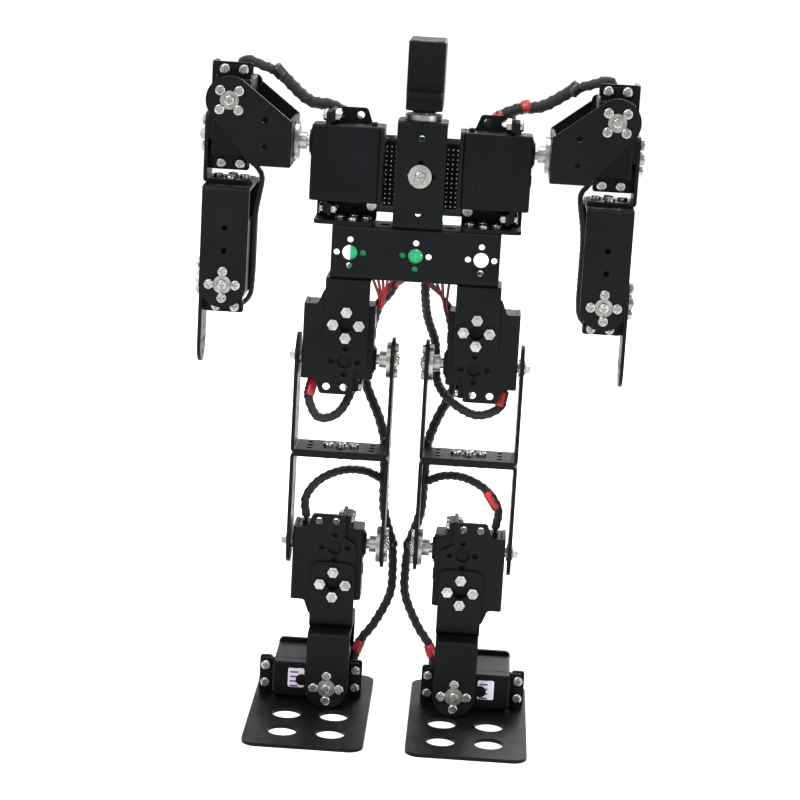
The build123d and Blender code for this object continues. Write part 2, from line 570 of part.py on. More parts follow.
# ---------------------------------------------------------------- foot
both("{}_foot_servo", put(SERVO, F_FOOT))
both("{}_foot_bracket", put([BRACKET_M], F_FOOT))
foot = box(11.0, 75.5, TOE, 34, 0, FOOT_T)
foot = vert(foot, 8.0)
tools = []
for fx in (LEG_X - 5.5, LEG_X + 20.2):
    for fy in (-64.0, -37.0):
        tools.append(rod(8.0, -1, 3, fx, fy))
for fx in (LEG_X - 12.0, LEG_X + 30.0):
    tools.append(rod(4.0, -1, 3, fx, 18.0))
fc = (LEG_X, YS - PZ)
fo = (LEG_X + STEP, YS - PZ)
for c in (fc, fo):
    tools += [rod(1.5, -1, 3, px, py) for px, py in ring4(0, c[0], c[1])]
both("{}_foot_plate", cut(foot, tools))
fit = put(ear_screws(), F_FOOT) + put(pivot_screw(), F_FOOT)
for c in (fc, fo):
    for px, py in ring4(0, c[0], c[1]):
        fit.append(shift(flat(3.85), px, py, Z_FOOT - 10.05))
both("{}_foot_fasteners", fit)

# ---------------------------------------------------------------- write
# the origin moves from under the hip axes to under the middle of the robot's outline, which runs from
# the toes to the back ear of the head servo
TO_ORIGIN = Pos(0, -(TOE + BACK) / 2, 0)
if __name__ == "__main__":
    os.makedirs("parts", exist_ok=True)
    for name, shapes in NODES.items():
        sols = []
        for s in shapes:
            sols += list((TO_ORIGIN * s).solids())
        export_step(Compound(label=name, children=sols), "parts/%s.step" % name)
    print(len(NODES), "nodes")
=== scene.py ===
"""Looks for the humanoid robot kit: materials of the parts, sleeved cables, labels, stage and camera."""

import json
from math import cos, pi, radians, sin

import bpy
import numpy as np
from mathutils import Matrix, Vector


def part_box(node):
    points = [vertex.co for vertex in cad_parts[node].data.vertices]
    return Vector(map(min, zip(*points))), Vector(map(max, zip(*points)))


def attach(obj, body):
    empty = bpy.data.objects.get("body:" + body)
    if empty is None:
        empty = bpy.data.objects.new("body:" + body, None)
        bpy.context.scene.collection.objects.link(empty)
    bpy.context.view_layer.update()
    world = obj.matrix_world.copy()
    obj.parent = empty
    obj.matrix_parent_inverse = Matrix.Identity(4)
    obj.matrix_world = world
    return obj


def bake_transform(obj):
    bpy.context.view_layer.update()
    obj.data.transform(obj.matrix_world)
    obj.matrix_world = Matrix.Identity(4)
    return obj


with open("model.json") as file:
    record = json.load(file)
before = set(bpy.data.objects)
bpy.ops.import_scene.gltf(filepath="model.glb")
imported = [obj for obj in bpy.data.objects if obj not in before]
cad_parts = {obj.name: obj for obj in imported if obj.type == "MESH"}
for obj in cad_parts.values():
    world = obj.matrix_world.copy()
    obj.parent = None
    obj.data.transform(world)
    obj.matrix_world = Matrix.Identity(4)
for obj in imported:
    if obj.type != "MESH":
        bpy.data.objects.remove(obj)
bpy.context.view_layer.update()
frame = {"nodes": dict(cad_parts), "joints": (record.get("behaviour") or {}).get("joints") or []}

MM = 0.001
JOINT = {j["name"]: Vector(j["pos_m"]) / MM for j in frame["joints"]}
Z_SHOULDER = JOINT["left_shoulder_swing"].z
Z_ARM = JOINT["left_arm_raise"].z
Z_ELBOW = JOINT["left_elbow_bend"].z
Z_HIP = JOINT["left_hip_swing"].z
Z_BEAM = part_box("waist_beam")[0].z / MM
Z_KNEE = JOINT["left_knee_bend"].z
Z_ANKLE = JOINT["left_ankle_tilt"].z
X_ARM = JOINT["left_arm_raise"].x
X_LEG = JOINT["left_hip_swing"].x
Y_AXIS = JOINT["left_hip_swing"].y    # plane of the hip, knee and shoulder axes; cable depths are from it
SIDES = (("left", 1), ("right", -1))

# Radii in mm
SLEEVE_R = 3.0        # spiral-wrapped cable sleeve along an arm
SLEEVE_END_R = 2.4    # the same where it goes on to the upper arm
LEG_R = 2.5           # the same along a leg
SHIN_R = 2.3          # the same from the knee to the foot
HIP_R = 2.3           # lead of a hip servo
KNEE_R = 2.2          # lead of a knee servo
FOREARM_R = 1.4       # lead of an elbow servo
WIRE_R = 0.85         # one insulated wire
BAND_R = 3.6          # heat-shrink over an arm's sleeve
LEG_BAND_R = 3.1      # the same on a leg
PLUG_R = 3.0          # red end of a leg's lead
KNEE_PLUG_R = 2.9     # red collar on the left knee's lead
FOREARM_PLUG_R = 2.3  # red end of a forearm's lead

# Height and length in mm of one turn of the spiral ridge round a tube
SLEEVE_WRAP = (0.55, 5.0)
LEAD_WRAP = (0.45, 4.0)
THIN_WRAP = (0.2, 3.5)
BAND_WRAP = (0.25, 2.5)
NO_WRAP = (0.0, 5.0)

# Spacing in mm of the points along a cable, a collar and a wire
CABLE_STEP, BAND_STEP, WIRE_STEP = 1.2, 1.0, 1.5
WIRE_SPREAD = 1.5     # radius of the bundle that loose wires form
BRAID_LENGTH = 6.0    # mm of sleeve in one repeat of the braid
BRAID_REPEATS = 3.0   # repeats of the braid around a sleeve
END_TAPER = 0.55      # radius of a tube's end, as a share of the rest
CABLE_UP = (0.3, 0.5, 0.8)    # a direction in which no cable starts
PIN_LENGTH = 5.9      # mm of header pin in front of its plastic
LABEL_LIFT, LABEL_TOP, LABEL_CORNER, LABEL_STEPS = 0.02, 0.12, 1.0, 5


# ---------------------------------------------------------------- node tree helpers
class Tree:
    """A material's node tree with short calls for the nodes used here."""

    def __init__(self, name):
        self.mat = bpy.data.materials.new(name)
        self.mat.use_nodes = True
        self.nt = self.mat.node_tree
        self.nt.nodes.clear()
        self.out = self.nt.nodes.new("ShaderNodeOutputMaterial")
        self.bsdf = self.nt.nodes.new("ShaderNodeBsdfPrincipled")
        self.nt.links.new(self.bsdf.outputs[0], self.out.inputs[0])
        self.coord = self.nt.nodes.new("ShaderNodeTexCoord").outputs["Object"]

    def set(self, **values):
        for key, value in values.items():
            self.bsdf.inputs[key.replace("_", " ")].default_value = value

    def link(self, a, b):
        self.nt.links.new(a, b)

    def feed(self, key, value):
        self.link(value, self.bsdf.inputs[key])

    def noise(self, scale, detail=3.0, rough=0.55):
        n = self.nt.nodes.new("ShaderNodeTexNoise")
        n.inputs["Scale"].default_value = scale
        n.inputs["Detail"].default_value = detail
        n.inputs["Roughness"].default_value = rough
        self.link(self.coord, n.inputs["Vector"])
        return n.outputs["Fac"]

    def remap(self, value, a, b, lo, hi):
        m = self.nt.nodes.new("ShaderNodeMapRange")
        self.link(value, m.inputs["Value"])
        for key, v in (("From Min", a), ("From Max", b), ("To Min", lo), ("To Max", hi)):
            m.inputs[key].default_value = v
        return m.outputs[0]

    def mix(self, fac, a, b):
        m = self.nt.nodes.new("ShaderNodeMix")
        m.data_type = "RGBA"
        self.link(fac, m.inputs[0])
        for slot, colour in ((6, a), (7, b)):
            if isinstance(colour, tuple):
                m.inputs[slot].default_value = (*colour, 1)
            else:
                self.link(colour, m.inputs[slot])
        return m.outputs[2]

    def math(self, op, a, b=None):
        m = self.nt.nodes.new("ShaderNodeMath")
        m.operation = op
        for i, v in enumerate((a, b)):
            if v is None:
                continue
            if isinstance(v, (int, float)):
                m.inputs[i].default_value = v
            else:
                self.link(v, m.inputs[i])
        return m.outputs[0]

    def bump(self, height, strength, distance, normal=None):
        b = self.nt.nodes.new("ShaderNodeBump")
        b.inputs["Strength"].default_value = strength
        b.inputs["Distance"].default_value = distance
        self.link(height, b.inputs["Height"])
        if normal is not None:
            self.link(normal, b.inputs["Normal"])
        return b.outputs[0]

    def rounded(self, radius):
        """Normal of the surface with its edges rounded to radius."""
        bevel = self.nt.nodes.new("ShaderNodeBevel")
        bevel.samples = 3
        bevel.inputs["Radius"].default_value = radius
        return bevel.outputs[0]

    def edge_mask(self, normal):
        """1 where the rounded normal leaves the flat one, that is on sharp edges."""
        geo = self.nt.nodes.new("ShaderNodeNewGeometry")
        dot = self.nt.nodes.new("ShaderNodeVectorMath")
        dot.operation = "DOT_PRODUCT"
        self.link(normal, dot.inputs[0])
        self.link(geo.outputs["Normal"], dot.inputs[1])
        return self.remap(dot.outputs["Value"], 0.995, 0.90, 0.0, 1.0)


def coated(name, dark, light, painted_highlight_colour, rough, grain, edge_mm):
    """Black coated sheet or moulded plastic: mottled, finely grained, and with a painted highlight: the
    sharp edges lightened in patches towards the third colour.
    """
    t = Tree(name)
    patches = t.noise(38.0, 4.0)
    normal = t.rounded(edge_mm * MM)
    base = t.mix(t.remap(patches, 0.35, 0.7, 0, 1), dark, light)
    # painted highlight: sharp edges are lightened in patches towards the third colour, as if they caught
    # the light
    painted_highlight_mask = t.math("MULTIPLY", t.edge_mask(normal), t.remap(t.noise(160.0, 5.0), 0.45, 0.62, 0.15, 0.9))
    t.feed("Base Color", t.mix(painted_highlight_mask, base, painted_highlight_colour))
    t.feed("Roughness", t.remap(t.noise(70.0, 5.0, 0.7), 0.3, 0.7, rough - 0.07, rough + 0.09))
    fine = t.noise(grain, 2.0, 0.6)
    t.feed("Normal", t.bump(fine, 0.16, 0.06 * MM, normal))
    t.set(IOR=1.48, Specular_IOR_Level=0.10)
    return t.mat


def bare_metal(name, colour, shade, rough):
    """Plated or turned metal: cloudy tone and a very fine grain."""
    t = Tree(name)
    normal = t.rounded(0.15 * MM)
    tone = t.noise(240.0, 4.0, 0.6)
    t.feed("Base Color", t.mix(t.remap(tone, 0.35, 0.65, 0, 1), shade, colour))
    t.feed("Roughness", t.remap(tone, 0.3, 0.7, rough + 0.08, rough - 0.04))
    t.feed("Normal", t.bump(t.noise(1500.0, 2.0, 0.5), 0.12, 0.04 * MM, normal))
    t.set(Metallic=1.0)
    return t.mat


def circuit_board(name, mask, track, painted_glow=0.0):
    """Solder mask over tracks, with tinned pads in rows. The last argument is the strength of a painted
    glow: the mask colour given off as light.
    """
    t = Tree(name)
    brick = t.nt.nodes.new("ShaderNodeTexBrick")
    for key, v in (("Scale", 260.0), ("Mortar Size", 0.06), ("Brick Width", 1.4), ("Row Height", 0.45)):
        brick.inputs[key].default_value = v
    swap = t.nt.nodes.new("ShaderNodeMapping")
    swap.inputs["Rotation"].default_value = (radians(90), 0, 0)
    t.link(t.coord, swap.inputs["Vector"])
    t.link(swap.outputs[0], brick.inputs["Vector"])
    cells = t.nt.nodes.new("ShaderNodeTexVoronoi")
    cells.inputs["Scale"].default_value = 390.0
    cells.inputs["Randomness"].default_value = 0.25
    t.link(t.coord, cells.inputs["Vector"])
    pad = t.math("MULTIPLY", t.math("LESS_THAN", cells.outputs["Distance"], 0.2),
                 t.math("GREATER_THAN", t.noise(60.0, 2.0), 0.52))
    colour = t.mix(brick.outputs["Fac"], mask, track)
    t.feed("Base Color", t.mix(pad, colour, (0.62, 0.60, 0.52)))
    t.feed("Metallic", t.math("MULTIPLY", pad, 0.9))
    t.feed("Normal", t.bump(brick.outputs["Fac"], 0.3, 0.08 * MM))
    # painted glow: the board gives off its mask colour as light of the last argument's strength
    t.set(Roughness=0.32, Emission_Color=(*mask, 1), Emission_Strength=painted_glow)
    return t.mat


def sleeve_material(name, dark, light, rough):
    """Woven braid on a sleeve: fine crossing strands."""
    t = Tree(name)
    uv = t.nt.nodes.new("ShaderNodeTexCoord").outputs["UV"]
    strands = []
    for turn in (40, -40):
        m = t.nt.nodes.new("ShaderNodeMapping")
        m.inputs["Rotation"].default_value = (0, 0, radians(turn))
        t.link(uv, m.inputs["Vector"])
        w = t.nt.nodes.new("ShaderNodeTexWave")
        w.inputs["Scale"].default_value = 5.5
        w.inputs["Distortion"].default_value = 0.6
        t.link(m.outputs[0], w.inputs["Vector"])
        strands.append(w.outputs["Fac"])
    weave = t.math("MAXIMUM", strands[0], strands[1])
    t.feed("Base Color", t.mix(t.remap(weave, 0.4, 1.0, 0, 1), dark, light))
    t.feed("Normal", t.bump(weave, 0.55, 0.3 * MM))
    t.set(Roughness=rough, Sheen_Weight=0.06, Specular_IOR_Level=0.35)
    return t.mat


def wire_material(name, colour, shade, rough):
    """Soft insulation or heat-shrink: a slightly uneven tone under a thin gloss."""
    t = Tree(name)
    tone = t.noise(180.0, 4.0)
    t.feed("Base Color", t.mix(t.remap(tone, 0.35, 0.65, 0, 1), shade, colour))
    t.feed("Roughness", t.remap(tone, 0.3, 0.7, rough - 0.05, rough + 0.1))
    t.feed("Normal", t.bump(t.noise(900.0, 3.0), 0.15, 0.1 * MM))
    t.set(Coat_Weight=0.15)
    return t.mat


# The third colour of each coated material is its painted edge highlight.
BRACKET = coated("black_bracket", (0.0022, 0.0027, 0.0030), (0.0040, 0.0047, 0.0050),
                 (0.020, 0.023, 0.024), 0.40, 2600.0, 0.35)
PLASTIC = coated("servo_plastic", (0.0018, 0.0020, 0.0028), (0.0036, 0.0039, 0.0052),
                 (0.013, 0.0135, 0.017), 0.36, 1800.0, 0.30)
HEADER = coated("header_plastic", (0.004, 0.004, 0.004), (0.007, 0.007, 0.007), (0.02, 0.02, 0.02),
                0.45, 1500.0, 0.15)
STEEL = bare_metal("zinc_plated_steel", (0.44, 0.44, 0.42), (0.24, 0.24, 0.23), 0.24)
HORN = bare_metal("turned_aluminium", (0.36, 0.355, 0.34), (0.21, 0.205, 0.195), 0.30)
BRASS = bare_metal("brass_gear", (0.72, 0.50, 0.22), (0.50, 0.34, 0.14), 0.30)
CAN = bare_metal("motor_can", (0.55, 0.55, 0.55), (0.38, 0.38, 0.38), 0.38)
GREEN = circuit_board("controller_board", (0.006, 0.050, 0.026), (0.010, 0.085, 0.045))
# the power board gets a painted glow of strength 0.35, though it is no lamp
BRIGHT = circuit_board("power_board", (0.004, 0.30, 0.11), (0.01, 0.42, 0.18), 0.35)
SLEEVE = sleeve_material("braided_sleeve", (0.0024, 0.0024, 0.0030), (0.010, 0.010, 0.011), 0.5)
RED = wire_material("red_insulation", (0.42, 0.010, 0.016), (0.20, 0.006, 0.012), 0.38)
MAROON = wire_material("dark_red_insulation", (0.16, 0.008, 0.014), (0.07, 0.004, 0.008), 0.42)
SHRINK = wire_material("black_heat_shrink", (0.010, 0.010, 0.011), (0.006, 0.006, 0.006), 0.33)


# ---------------------------------------------------------------- materials on the CAD nodes
def islands(mesh):
    """Which solid each polygon belongs to, and each solid's size in mm, smallest side first."""
    co = np.empty(len(mesh.vertices) * 3)
    mesh.vertices.foreach_get("co", co)
    co = co.reshape(-1, 3) / MM
    same = np.unique(np.round(co, 3), axis=0, return_inverse=True)[1].ravel()
    root = np.arange(same.max() + 1)
    edges = np.empty(len(mesh.edges) * 2, dtype=np.int64)
    mesh.edges.foreach_get("vertices", edges)
    a, b = same[edges[0::2]], same[edges[1::2]]
    while True:
        low = np.minimum(root[a], root[b])
        before = root.copy()
        np.minimum.at(root, a, low)
        np.minimum.at(root, b, low)
        root = root[root]
        if np.array_equal(before, root):
            break
    vertex_label = root[same]
    start = np.empty(len(mesh.polygons), dtype=np.int64)
    mesh.polygons.foreach_get("loop_start", start)
    loops = np.empty(len(mesh.loops), dtype=np.int64)
    mesh.loops.foreach_get("vertex_index", loops)
    label = vertex_label[loops[start]]
    sizes = {}
    for k in np.unique(vertex_label):
        pts = co[vertex_label == k]
        sizes[int(k)] = sorted((pts.max(0) - pts.min(0)).tolist())
    return label, sizes


def paint(obj, choices, pick):
    """pick(sorted size in mm) is the index of the material in choices for one solid."""
    mesh = obj.data
    mesh.materials.clear()
    for m in choices:
        mesh.materials.append(m)
    label, sizes = islands(mesh)
    index = {k: pick(s) for k, s in sizes.items()}
    mesh.polygons.foreach_set("material_index", np.array([index[int(k)] for k in label], dtype=np.int32))
    mesh.update()


SERVO_CHOICES = (PLASTIC, STEEL, CAN, BRASS, GREEN)
HARDWARE_CHOICES = (STEEL, HORN)
BOARD_CHOICES = (BRIGHT, HEADER)


def servo_pick(size):
    """Screws, motor, gears and control board of a servo by their sizes; the rest is its plastic case."""
    small, middle, long = size
    if middle < 4.2:
        return SERVO_CHOICES.index(STEEL)
    if long > 27 and small > 15 and middle < 17:
        return SERVO_CHOICES.index(CAN)
    if long < 11 and small > 5:
        return SERVO_CHOICES.index(BRASS)
    if small < 3:
        return SERVO_CHOICES.index(GREEN)
    return SERVO_CHOICES.index(PLASTIC)


def hardware_pick(size):
    """Horns and other turned discs, told by their sizes, are aluminium; the rest is plated steel."""
    small, middle, long = size
    horn = abs(long - 20) < 0.5
    disc = 9.0 < long < 10 and small < 4
    ring = 12.9 < middle < 13.5
    return HARDWARE_CHOICES.index(HORN if horn or disc or ring else STEEL)


def power_board_pick(size):
    """The bare board is the only wide thin piece of its node."""
    small, middle, long = size
    return BOARD_CHOICES.index(BRIGHT if small < 1.7 and long > 30 else HEADER)


def first_pick(size):
    return 0


def paint_nodes():
    for name, obj in frame["nodes"].items():
        if name.endswith(("servo", "servos")):
            paint(obj, SERVO_CHOICES, servo_pick)
        elif name.endswith(("fittings", "fasteners", "neck_horn")):
            paint(obj, HARDWARE_CHOICES, hardware_pick)
        elif name == "controller_board":
            paint(obj, (GREEN,), first_pick)
        elif name == "power_board":
            paint(obj, BOARD_CHOICES, power_board_pick)
        elif name == "board_components":
            paint(obj, (HEADER, STEEL), first_pick)
            pin_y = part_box(name)[0].y + PIN_LENGTH * MM
            for p in obj.data.polygons:
                if p.center.y < pin_y:
                    p.material_index = 1
        else:
            paint(obj, (BRACKET,), first_pick)


# ---------------------------------------------------------------- cables
def spline(points, step):
    """Catmull-Rom curve through points, sampled about every step."""
    p = [np.array(q, float) for q in points]
    p = [2 * p[0] - p[1]] + p + [2 * p[-1] - p[-2]]
    out = []
    for i in range(1, len(p) - 2):
        n = max(2, int(np.linalg.norm(p[i + 1] - p[i]) / step))
        for k in range(n):
            t = k / n
            out.append(0.5 * (2 * p[i] + (p[i + 1] - p[i - 1]) * t
                              + (2 * p[i - 1] - 5 * p[i] + 4 * p[i + 1] - p[i + 2]) * t * t
                              + (3 * p[i] - p[i - 1] - 3 * p[i + 1] + p[i + 2]) * t ** 3))
    out.append(p[-2])
    return np.array(out)


def mesh_object(name, verts, faces, material, uv_of=None, smooth=lambda poly: False):
    """Object in the scene. uv_of(vertex index) is the texture place of a vertex."""
    mesh = bpy.data.meshes.new(name)
    mesh.from_pydata([tuple(v) for v in verts], [], faces)
    if uv_of:
        layer = mesh.uv_layers.new(name="UVMap")
        for poly in mesh.polygons:
            for li in poly.loop_indices:
                layer.data[li].uv = uv_of(mesh.loops[li].vertex_index)
    for poly in mesh.polygons:
        poly.use_smooth = smooth(poly)
    mesh.materials.append(material)
    mesh.update()
    obj = bpy.data.objects.new(name, mesh)
    bpy.context.scene.collection.objects.link(obj)
    return obj


def tube(name, path, radius, material, wrap=NO_WRAP, around=14):
    """Closed tube along path (mm). wrap is the height and the length of one turn of its spiral ridge."""
    height, pitch = wrap
    n = len(path)
    tangent = np.gradient(path, axis=0)
    tangent /= np.linalg.norm(tangent, axis=1)[:, None]
    side = np.cross(tangent[0], CABLE_UP)
    side /= np.linalg.norm(side)
    length = np.concatenate([[0], np.cumsum(np.linalg.norm(np.diff(path, axis=0), axis=1))])
    verts, uvs = [], []
    for i in range(n):
        side = side - tangent[i] * side.dot(tangent[i])
        side /= np.linalg.norm(side)
        other = np.cross(tangent[i], side)
        for k in range(around):
            a = 2 * pi * k / around
            ridge = (0.5 + 0.5 * cos(2 * pi * length[i] / pitch + a)) ** 3
            close = END_TAPER if i in (0, n - 1) else 1.0
            r = (radius + height * ridge) * close
            verts.append((path[i] + side * cos(a) * r + other * sin(a) * r) * MM)
            uvs.append((length[i] / BRAID_LENGTH, k / around * BRAID_REPEATS))
    faces = []
    for i in range(n - 1):
        for k in range(around):
            j = (k + 1) % around
            faces.append((i * around + k, i * around + j, (i + 1) * around + j, (i + 1) * around + k))
    faces.append(tuple(range(around))[::-1])
    faces.append(tuple((n - 1) * around + k for k in range(around)))
    return mesh_object(name, verts, faces, material, uvs.__getitem__, lambda poly: len(poly.vertices) == 4)


def mirrored(points, s):
    """Points given for the left side, depths from the plane of the joint axes, put on side s."""
    return [(s * x, Y_AXIS + y, z) for x, y, z in points]


def sleeve(name, points, s, radius=SLEEVE_R, wrap=SLEEVE_WRAP):
    return tube(name, spline(mirrored(points, s), CABLE_STEP), radius, SLEEVE, wrap)


def band(name, points, s, body, material=SHRINK, radius=LEG_BAND_R):
    """Heat-shrink collar over the place where two lengths of sleeve meet, or over the end of one."""
    path = spline(mirrored(points, s), BAND_STEP)
    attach(tube(name, path, radius, material, BAND_WRAP), body)


def across(obj, start, end, s):
    """Bake the cable's transform into its mesh; start and end are put on side s and are not used further.
    """
    start, end = mirrored((start, end), s)
    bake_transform(obj)


def wires(name, starts, points, s, body, material):
    """Loose insulated wires from spread starts into the mouth of a sleeve."""
    for i, start in enumerate(starts):
        ring = 2 * pi * i / len(starts)
        shift = (WIRE_SPREAD * cos(ring), WIRE_SPREAD * sin(ring), 0)
        path = [start] + [tuple(c + d for c, d in zip(p, shift)) for p in points]
        line = spline(mirrored(path, s), WIRE_STEP)
        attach(tube(f"{name}_{i + 1}", line, WIRE_R, material, around=8), body)


def arm_cables(side, s):
    """Sleeve from the controller board over the shoulder with its wires, and the elbow servo's lead."""
    torso, link, upper, fore = "torso", f"{side}_shoulder", f"{side}_upper_arm", f"{side}_forearm"
    high = 4 if s == 1 else 0     # the left sleeve arches a little higher
    joint = (79, 14, Z_ARM + 13)
    board = [(27, 15.5, Z_SHOULDER + 2), (37, 17, Z_SHOULDER + 11 + high),
             (50, 16.5, Z_SHOULDER + 18 + high), (63, 15.5, Z_ARM - 1 + high), joint]
    first = sleeve(f"{side}_arm_cable", board, s)
    across(first, (60, 15, Z_ARM), (74, 15, Z_ARM), s)
    over = [joint, (88, 13, Z_ARM + 16), (97, 13.5, Z_ARM + 18.5), (101, 16.5, Z_ARM + 13.5)]
    second = sleeve(f"{side}_arm_cable_end", over, s, SLEEVE_END_R)
    across(second, (82, 14, Z_ARM + 14), (96, 14, Z_ARM + 14), s)
    collar = [(76.5, 14.2, joint[2] - 3), joint, (82, 13.7, joint[2] + 3)]
    band(f"{side}_arm_cable_collar", collar, s, link, radius=BAND_R)
    if s == 1:
        red_end = [(37, 17, Z_SHOULDER + 11 + high), (43, 17, Z_SHOULDER + 14.5 + high)]
        red_mid = [(51, 16.4, Z_SHOULDER + 18.5 + high), (57, 16, Z_SHOULDER + 20.5 + high)]
        band("left_arm_cable_red_end", red_end, s, torso, RED, BAND_R)
        band("left_arm_cable_red_mid", red_mid, s, torso, RED, BAND_R)
    pins = [(19.3, 11.2, Z_SHOULDER - 22 + 5 * i) for i in range(6)]
    mouth = [(23.5, 13.6, Z_SHOULDER - 6), (27, 15.2, Z_SHOULDER + 1)]
    wires(f"{side}_board_wire", pins, mouth, s, torso, MAROON)
    # the lead leaves the servo's end, turns up beside it and bulges round the elbow bracket's base
    lead = [(X_ARM, 17, Z_ELBOW - 12), (X_ARM - 5, 16.5, Z_ELBOW - 17),
            (X_ARM - 10, 17, Z_ELBOW - 13.5), (X_ARM - 11.6, 18, Z_ELBOW - 4),
            (X_ARM - 11.6, 18, Z_ELBOW + 28), (X_ARM - 13.2, 18.5, Z_ELBOW + 42),
            (X_ARM - 14.2, 19, Z_ELBOW + 48), (X_ARM - 14.1, 19.5, Z_ELBOW + 54),
            (X_ARM - 9.5, 20.5, Z_ELBOW + 60), (X_ARM - 5.5, 20, Z_ELBOW + 65.5),
            (X_ARM - 3.5, 19.5, Z_ELBOW + 70)]
    up = sleeve(f"{side}_forearm_cable", lead, s, FOREARM_R, THIN_WRAP)
    across(up, (X_ARM, 15, Z_ELBOW - 12), (X_ARM, 15, Z_ELBOW + 34), s)
    band(f"{side}_forearm_plug", lead[0:2], s, fore, RED, FOREARM_PLUG_R)


def leg_cables(side, s):
    """Leads of the hip and knee servos, and the sleeve from the waist down the leg to the foot servo."""
    torso, thigh, shin, foot = "torso", f"{side}_thigh", f"{side}_shin", f"{side}_foot"
    if s == -1:    # the right lead hangs lower and runs further out than the left one
        loop = [(52, 0, Z_HIP - 12.5), (54, -4, Z_HIP - 22), (48, -5, Z_HIP - 33), (37, -3, Z_HIP - 30),
                (30, 8, Z_HIP - 16), (27, 16, Z_HIP), (24, 16, Z_HIP + 20), (13, 8, Z_HIP + 36),
                (9, 5, Z_HIP + 46)]
    else:
        loop = [(52, 0, Z_HIP - 12.5), (50, -3, Z_HIP - 22), (38, -3, Z_HIP - 27), (24, 4, Z_HIP - 22),
                (15.5, 15.5, Z_HIP - 14), (13.8, 18.5, Z_HIP - 1), (12.5, 18, Z_HIP + 9),
                (8, 14, Z_HIP + 22), (6, 7, Z_HIP + 36), (6, 5, Z_HIP + 46)]
    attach(sleeve(f"{side}_hip_cable", loop, s, HIP_R, LEAD_WRAP), torso)
    band(f"{side}_hip_cable_red_end", loop[0:2], s, torso, RED, PLUG_R)
    join = (11.5, 18, Z_HIP - 50)
    trunk = [(19, 9, Z_HIP + 29), (22, 15, Z_HIP + 16), (26, 19, Z_HIP - 2), (24, 20, Z_HIP - 18),
             (16, 18.5, Z_HIP - 36), join]
    main = sleeve(f"{side}_trunk_cable", trunk, s, LEG_R)
    across(main, (20, 18, Z_HIP + 14), (20, 18, Z_HIP - 34), s)
    down = [join, (11, 18, Z_KNEE + 32), (10, 18.5, Z_KNEE + 14), (4.6, 19.5, Z_KNEE - 4)]
    lower = sleeve(f"{side}_thigh_cable", down, s, LEG_R)
    across(lower, (10, 18, Z_KNEE + 24), (5, 18, Z_KNEE - 3), s)
    band(f"{side}_trunk_collar", [(12.2, 18, join[2] + 4), join, (11.3, 18, join[2] - 4)], s, thigh)
    last = [down[-1], (3.6, 19.5, Z_KNEE - 18), (4.4, 19.5, Z_KNEE - 34), (12, 19, Z_KNEE - 51),
            (19, 17.5, Z_ANKLE + 15), (22, 17, Z_ANKLE + 6), (22.6, 17, Z_ANKLE)]
    end = sleeve(f"{side}_shin_cable", last, s, SHIN_R)
    across(end, (10, 18, Z_ANKLE + 30), (20, 18, Z_ANKLE + 8), s)
    band(f"{side}_thigh_collar", [(4.9, 19.5, Z_KNEE - 2.5), down[-1], (4.3, 19.6, Z_KNEE - 7)], s, shin)
    band(f"{side}_foot_plug", [(19, 17.5, Z_ANKLE + 15), (22, 17, Z_ANKLE + 7)], s, foot, RED, PLUG_R)
    arc = [(12, 17, Z_KNEE + 33), (22, 13, Z_KNEE + 38), (34, 7, Z_KNEE + 39), (46, 2, Z_KNEE + 34),
           (53, 0.5, Z_KNEE + 24), (52, 0, Z_KNEE + 12.5)]
    hoop = sleeve(f"{side}_knee_cable", arc, s, KNEE_R, LEAD_WRAP)
    across(hoop, (24, 10, Z_KNEE + 36), (50, 0, Z_KNEE + 18), s)
    if s == 1:
        band("left_knee_cable_red_end", arc[3:5], s, shin, RED, KNEE_PLUG_R)
    count, step, colour = (8, 3.1, RED) if s == -1 else (5, 4.2, MAROON)
    starts = [(2 + step * i, 3 - (i % 2), Z_BEAM + 1) for i in range(count)]
    wires(f"{side}_waist_wire", starts, [(17.5, 7.5, Z_HIP + 32), (19, 9, Z_HIP + 26)], s, torso, colour)


# ---------------------------------------------------------------- labels
def label_material():
    """White printed label with plain violet bars and no lettering."""
    t = Tree("plain_label")
    uv = t.nt.nodes.new("ShaderNodeTexCoord").outputs["UV"]
    split = t.nt.nodes.new("ShaderNodeSeparateXYZ")
    t.link(uv, split.inputs[0])
    x, y = split.outputs[0], split.outputs[1]
    bars = t.math("GREATER_THAN", t.math("SINE", t.math("MULTIPLY", y, 26.0)), 0.35)
    inside = t.math("MULTIPLY", t.math("GREATER_THAN", x, 0.12), t.math("LESS_THAN", x, 0.62))
    t.feed("Base Color", t.mix(t.math("MULTIPLY", bars, inside), (0.62, 0.60, 0.66), (0.10, 0.03, 0.20)))
    t.feed("Normal", t.bump(t.noise(1200.0, 3.0), 0.1, 0.05 * MM))
    t.set(Roughness=0.35)
    return t.mat


def label(name, centre, across_axis, up_axis, normal, size, body, material):
    """Thin sticker with rounded corners, its centre in mm on the face that it lies on."""
    w, h, r = size[0] / 2, size[1] / 2, LABEL_CORNER
    c, u, v, n = (np.array(q, float) for q in (centre, across_axis, up_axis, normal))
    outline = []
    for cx, cy, a0 in ((w - r, h - r, 0), (r - w, h - r, 90), (r - w, r - h, 180), (w - r, r - h, 270)):
        for k in range(LABEL_STEPS + 1):
            a = radians(a0 + 90 * k / LABEL_STEPS)
            outline.append((cx + r * cos(a), cy + r * sin(a)))
    count = len(outline)
    verts = [(c + u * x + v * y + n * d) * MM for d in (LABEL_LIFT, LABEL_TOP) for x, y in outline]
    faces = [tuple(range(count))[::-1], tuple(range(count, 2 * count))]
    faces += [(k, (k + 1) % count, count + (k + 1) % count, count + k) for k in range(count)]
    uvs = [(x / (2 * w) + 0.5, y / (2 * h) + 0.5) for x, y in outline] * 2
    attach(mesh_object(name, verts, faces, material, uvs.__getitem__), body)


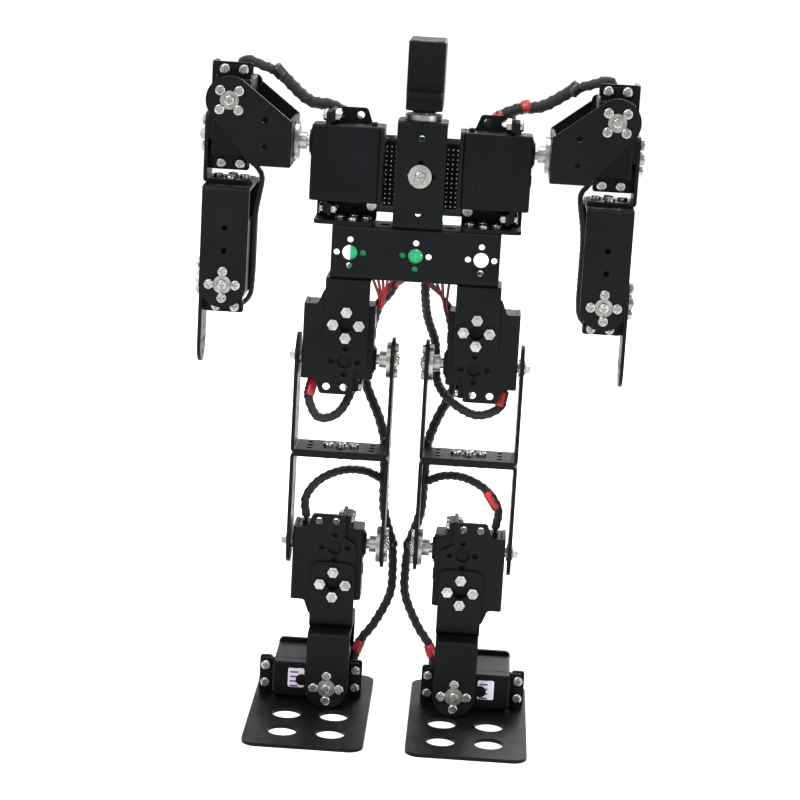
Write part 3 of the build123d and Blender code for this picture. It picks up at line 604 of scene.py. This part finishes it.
def labels():
    material = label_material()
    for side, s in SIDES:
        face_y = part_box(f"{side}_foot_servo")[0].y / MM + 1.5
        foot = (s * (X_LEG + 17.5), face_y, Z_ANKLE + 1.0)
        label(f"{side}_foot_label", foot, (1, 0, 0), (0, 0, 1), (0, -1, 0), (9.0, 11.0),
              f"{side}_foot", material)
        arm = (s * (X_ARM - 9.85), Y_AXIS + 6.0, Z_ARM - 18.0)
        label(f"{side}_arm_label", arm, (0, -s, 0), (0, 0, 1), (-s, 0, 0), (12.0, 15.0),
              f"{side}_upper_arm", material)


# ---------------------------------------------------------------- stage
def stage_material():
    t = Tree("pale_floor")
    tone = t.noise(3.0, 3.0)
    t.feed("Base Color", t.mix(tone, (0.86, 0.86, 0.86), (0.90, 0.90, 0.90)))
    t.set(Roughness=0.85, Specular_IOR_Level=0.1, Emission_Color=(1, 1, 1, 1), Emission_Strength=0.28)
    return t.mat


def stage():
    """Floor that curves up into a backdrop well behind the object."""
    half, front, back, height, bend, steps = 6.0, -6.0, 3.0, 6.0, 1.5, 10
    profile = [(front, 0.0)]
    for k in range(steps + 1):
        a = pi / 2 * k / steps
        profile.append((back + bend * sin(a), bend - bend * cos(a)))
    profile.append((back + bend, height))
    verts = [(x, y, z) for y, z in profile for x in (-half, half)]
    faces = [(2 * i, 2 * i + 1, 2 * i + 3, 2 * i + 2) for i in range(len(profile) - 1)]
    mesh_object("floor", verts, faces, stage_material(), smooth=lambda poly: True)


def area_light(name, place, aim, size, power):
    """Round soft light of size metres, turned towards aim."""
    lamp = bpy.data.lights.new(name, "AREA")
    lamp.shape = "DISK"
    lamp.size = size
    lamp.energy = power
    obj = bpy.data.objects.new(name, lamp)
    obj.location = place
    obj.rotation_euler = (Vector(aim) - Vector(place)).to_track_quat("-Z", "Y").to_euler()
    bpy.context.scene.collection.objects.link(obj)


def lights():
    middle = (0, 0, 0.2)
    area_light("key", (-0.9, -1.5, 1.5), middle, 1.2, 34)
    area_light("fill", (1.5, -1.1, 0.8), middle, 1.4, 18)
    area_light("top", (0.1, 0.2, 1.9), middle, 1.5, 26)
    area_light("rim", (0.6, 1.5, 1.0), middle, 1.0, 20)
    world = bpy.data.worlds.new("studio")
    world.use_nodes = True
    background = world.node_tree.nodes["Background"]
    background.inputs["Color"].default_value = (1, 1, 1, 1)
    background.inputs["Strength"].default_value = 0.70
    bpy.context.scene.world = world


def camera():
    """A long lens a little above the robot's middle, tipped down and rolled slightly."""
    data = bpy.data.cameras.new("camera")
    data.sensor_width = 36.0
    data.lens = 105.6
    data.clip_end = 50.0
    obj = bpy.data.objects.new("camera", data)
    obj.location = (0.033, -1.249 + Y_AXIS * MM, 0.443)
    obj.rotation_euler = (radians(77.75), radians(-3.19), radians(2.40))
    bpy.context.scene.collection.objects.link(obj)
    bpy.context.scene.camera = obj
    bpy.context.scene.view_settings.view_transform = "Standard"


paint_nodes()
for side, s in SIDES:
    arm_cables(side, s)
    leg_cables(side, s)
labels()
stage()
lights()
camera()
